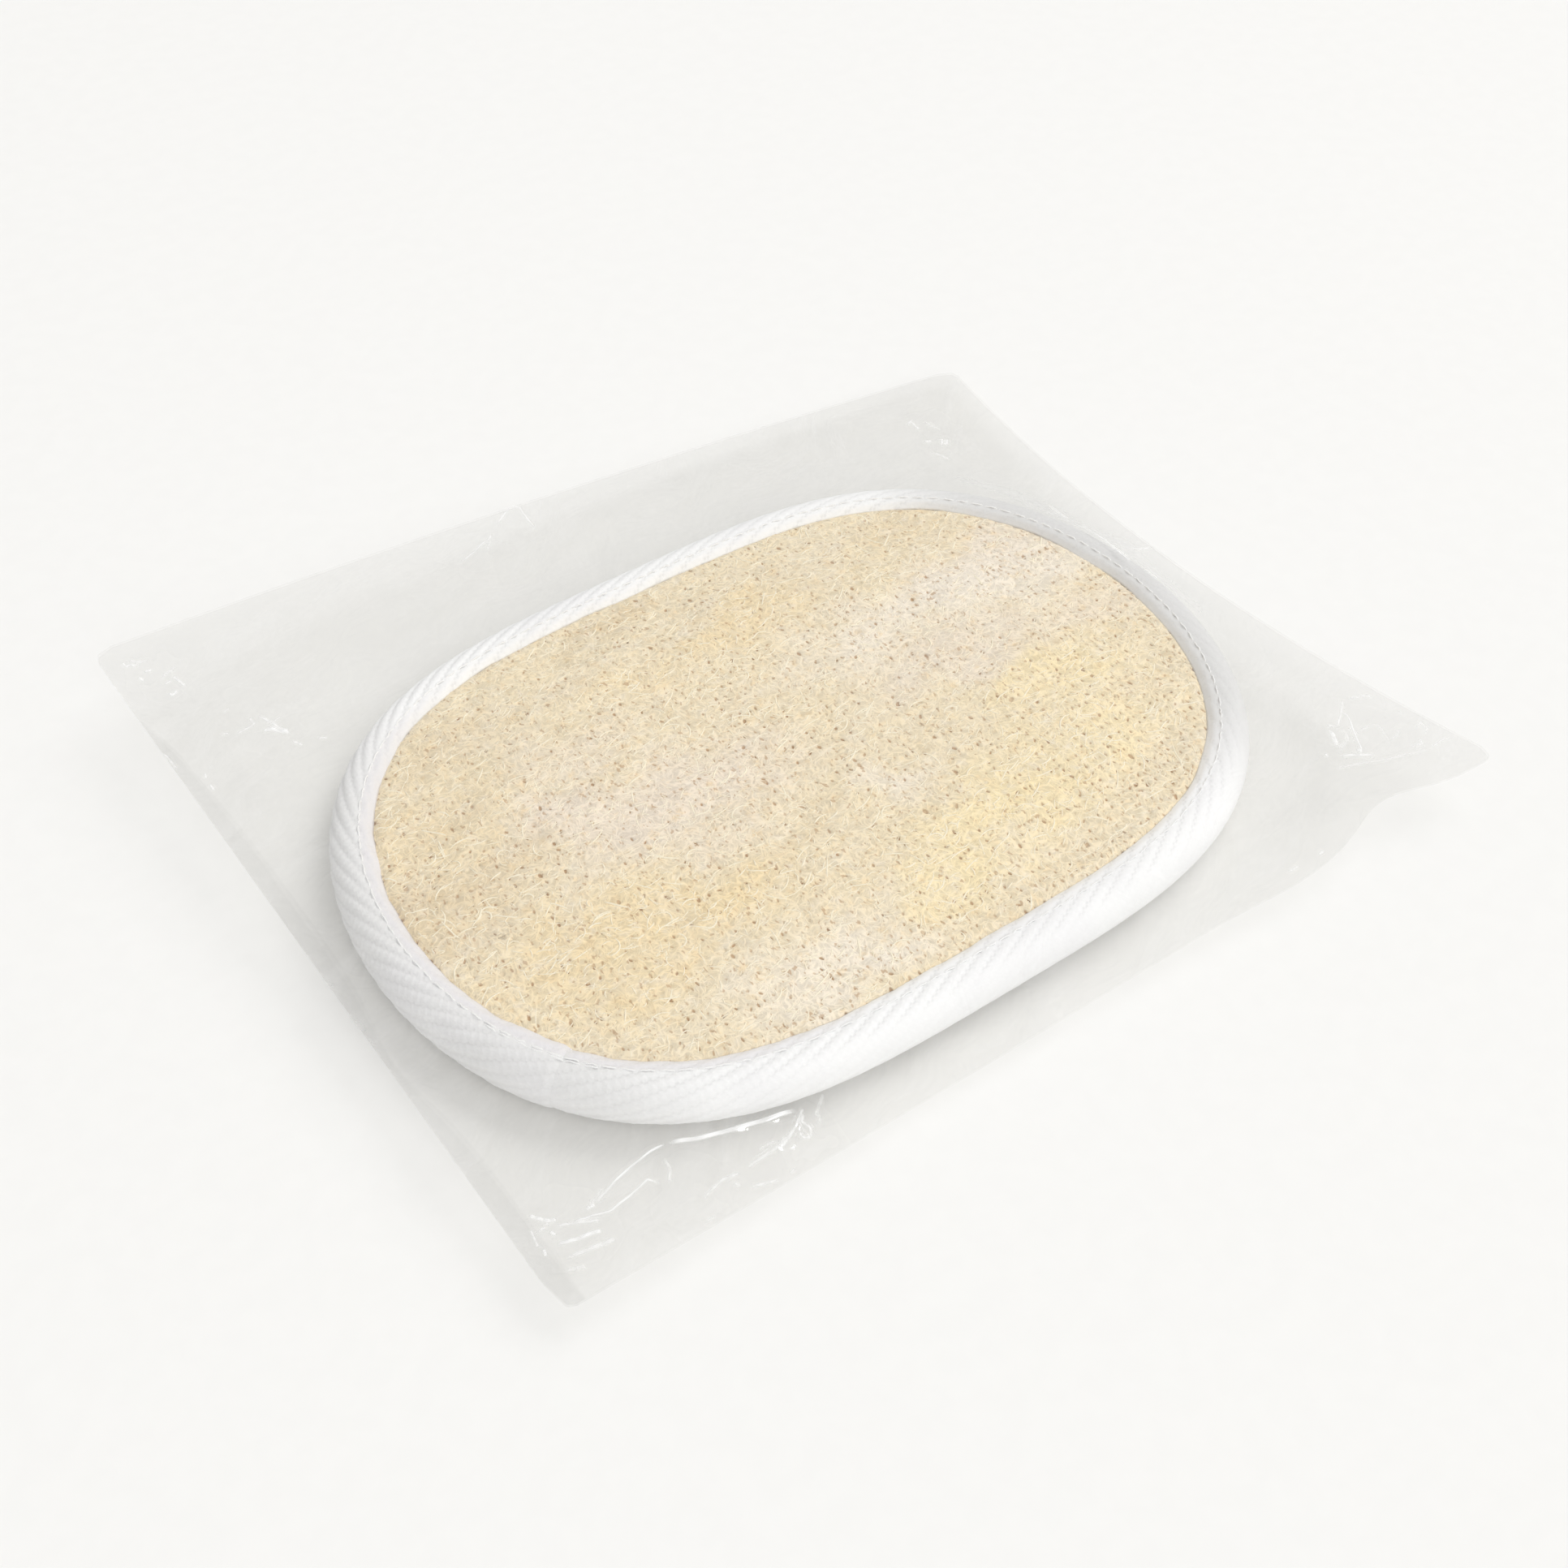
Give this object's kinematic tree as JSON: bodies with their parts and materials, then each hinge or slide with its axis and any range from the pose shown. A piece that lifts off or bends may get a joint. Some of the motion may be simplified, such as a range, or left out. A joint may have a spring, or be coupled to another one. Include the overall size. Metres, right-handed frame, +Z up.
{
  "type": "loofah bath pad in a clear bag",
  "caption": "Oval bath pad with a natural loofah face, soft cloth back and sewn twill binding, lying in a flat clear film bag.",
  "frame": {"origin": "centre of the bag's box, on the plane that the bag lies on", "axes": "+X along the pad's long axis, +Y towards the bag's deeper margin, +Z up out of the loofah face"},
  "size_m": [0.1712, 0.146, 0.0121],
  "materials": {
    "loofah": "dry matted plant fibre, matte, full of small pores",
    "foam": "soft open foam, matte",
    "terry": "looped cotton, matte",
    "tape": "soft cotton twill, matte",
    "thread": "smooth sewing thread, faint sheen",
    "film": "clear thin film, glossy, lightly creased"
  },
  "bodies": {
    "root": {"loofah_mat": "loofah", "foam_filling": "foam", "terry_back": "terry", "binding_tape": "tape", "needle_thread": "thread", "bobbin_thread": "thread", "bag_front_film": "film", "bag_back_film": "film"}
  },
  "joints": []
}
